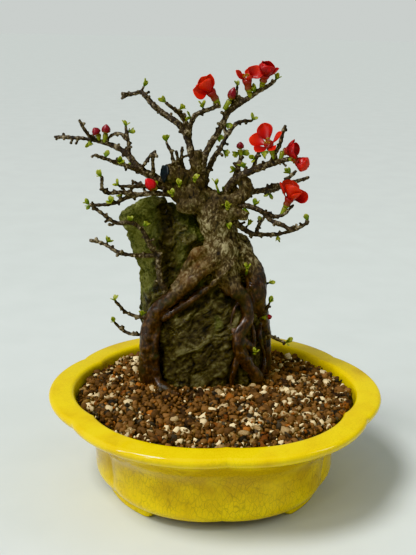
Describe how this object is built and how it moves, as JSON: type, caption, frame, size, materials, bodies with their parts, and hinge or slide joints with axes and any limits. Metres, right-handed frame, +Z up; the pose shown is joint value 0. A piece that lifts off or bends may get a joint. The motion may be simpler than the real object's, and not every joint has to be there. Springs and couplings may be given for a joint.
{
  "type": "potted bonsai tree",
  "caption": "Flowering quince bonsai with its roots clasping an upright rock, in a lobed glazed oval pot on low feet.",
  "frame": {"origin": "middle of the pot's footprint, on the surface that its feet stand on", "axes": "+Z up, +X to the right seen from the front, -Y to the front"},
  "size_m": [0.19, 0.1694, 0.2398],
  "materials": {
    "glaze": "glossy yellow glaze with a fine crackle",
    "screen": "moulded mesh",
    "soil": "loose mixed grains of pumice, fired clay and lava",
    "rock": "rough, damp and partly mossed",
    "bark": "rough bark on the trunk, smoother and damp on the roots",
    "twig": "dark thin bark with young leaves",
    "leaf": "young satin leaves",
    "petal": "soft petals with a faint sheen",
    "bud": "closed petals, satin",
    "seal": "dried wound paste, slightly shiny"
  },
  "bodies": {
    "root": {"pot": "glaze", "drain_screen_left": "screen", "drain_screen_right": "screen", "soil_bed": "soil", "rock": "rock", "trunk_and_roots": "bark", "wound_seal": "seal", "branch_top_left": "twig", "branch_top_right": "twig", "branch_back_right": "twig", "branch_right_upper": "twig", "twig_crown_right": "twig", "branch_right_middle": "twig", "branch_right_front": "twig", "branch_right_low": "twig", "branch_left_long": "twig", "branch_left_middle": "twig", "branch_left_low": "twig", "branch_back": "twig", "sucker_left": "twig", "shoot_left_upper": "twig", "shoot_left_lower": "twig", "shoot_right_upper": "twig", "shoot_right_middle": "twig", "shoot_right_lower": "twig", "tuft_crown_1": "leaf", "tuft_crown_2": "leaf", "tuft_crown_3": "leaf", "tuft_crown_4": "leaf", "tuft_crown_5": "leaf", "tuft_crown_6": "leaf", "tuft_neck": "leaf", "tuft_root": "leaf", "tuft_crevice": "leaf", "bloom_1": "petal", "bloom_2": "petal", "bloom_3": "petal", "bloom_4": "petal", "bloom_5": "petal", "bloom_6": "petal", "bloom_7": "petal", "bud_top": "bud", "bud_left_bright": "bud", "bud_left_dark_1": "bud", "bud_left_dark_2": "bud", "bud_crown_right": "bud", "bud_shoot_right": "bud"}
  },
  "joints": []
}
